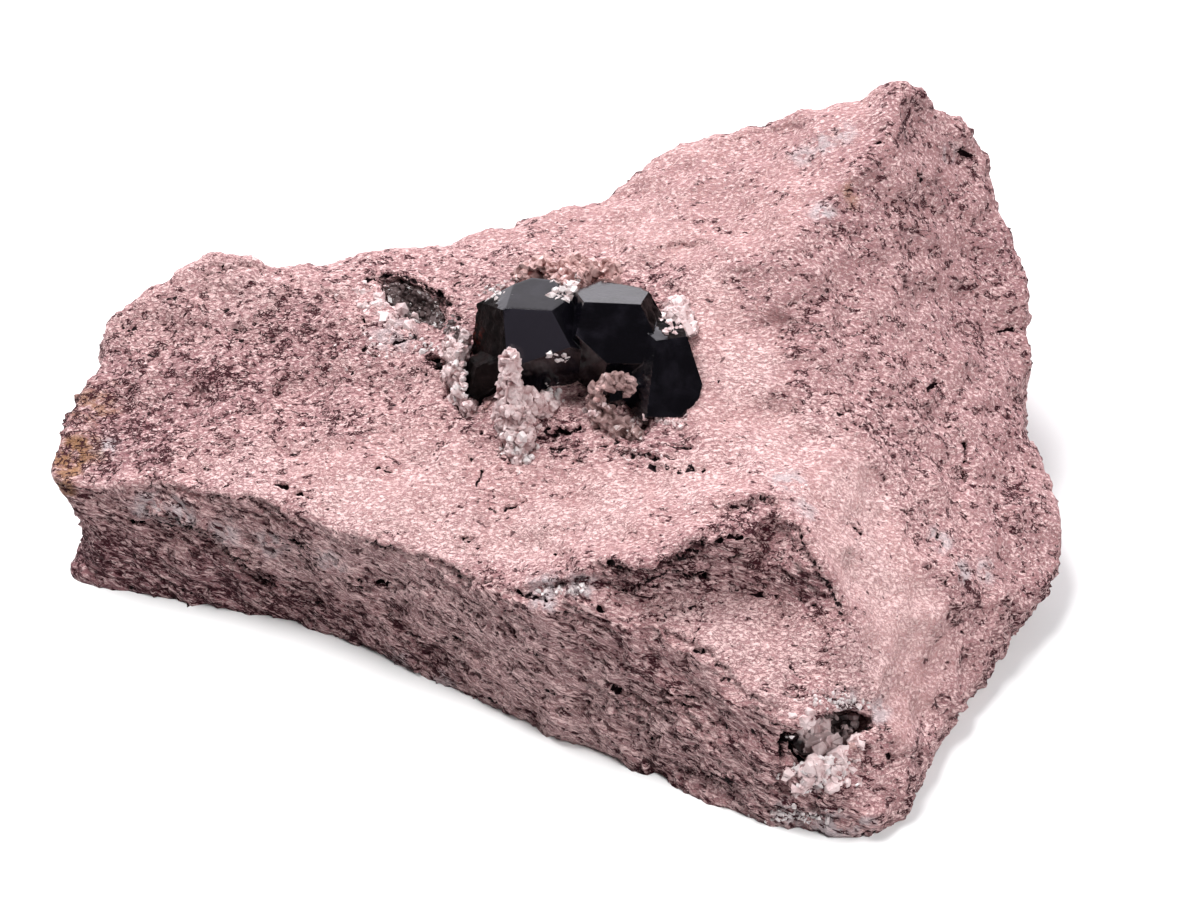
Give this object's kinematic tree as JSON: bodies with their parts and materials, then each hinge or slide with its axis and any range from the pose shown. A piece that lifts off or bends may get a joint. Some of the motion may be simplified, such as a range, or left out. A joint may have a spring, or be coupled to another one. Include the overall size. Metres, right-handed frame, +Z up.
{
  "type": "garnet in matrix",
  "caption": "Broken block of pink rhyolite carrying a cluster of intergrown black faceted garnet crystals edged with white quartz, resting on a flat underside.",
  "frame": {"origin": "middle of the specimen's bounding box on its flat underside; z = 0 is the surface it rests on", "axes": "+Z up out of the rock towards the garnets, -Y the front with the ledge and the long broken wall, +X to the right, along the longest extent"},
  "size_m": [0.0808, 0.0606, 0.029],
  "materials": {
    "rhyolite": "matte, granular pink volcanic rock",
    "garnet": "glossy near-black crystal faces",
    "quartz": "milky, frosted quartz",
    "druse": "dark glittering crust of small crystals"
  },
  "bodies": {
    "root": {"rhyolite_matrix": "rhyolite", "garnet_crystals": "garnet", "quartz_spur": "quartz", "quartz_collar": "quartz", "quartz_cap": "quartz", "quartz_fringe": "quartz", "quartz_nub": "quartz", "vug_druse_back": "druse", "vug_druse_front": "druse"}
  },
  "joints": []
}
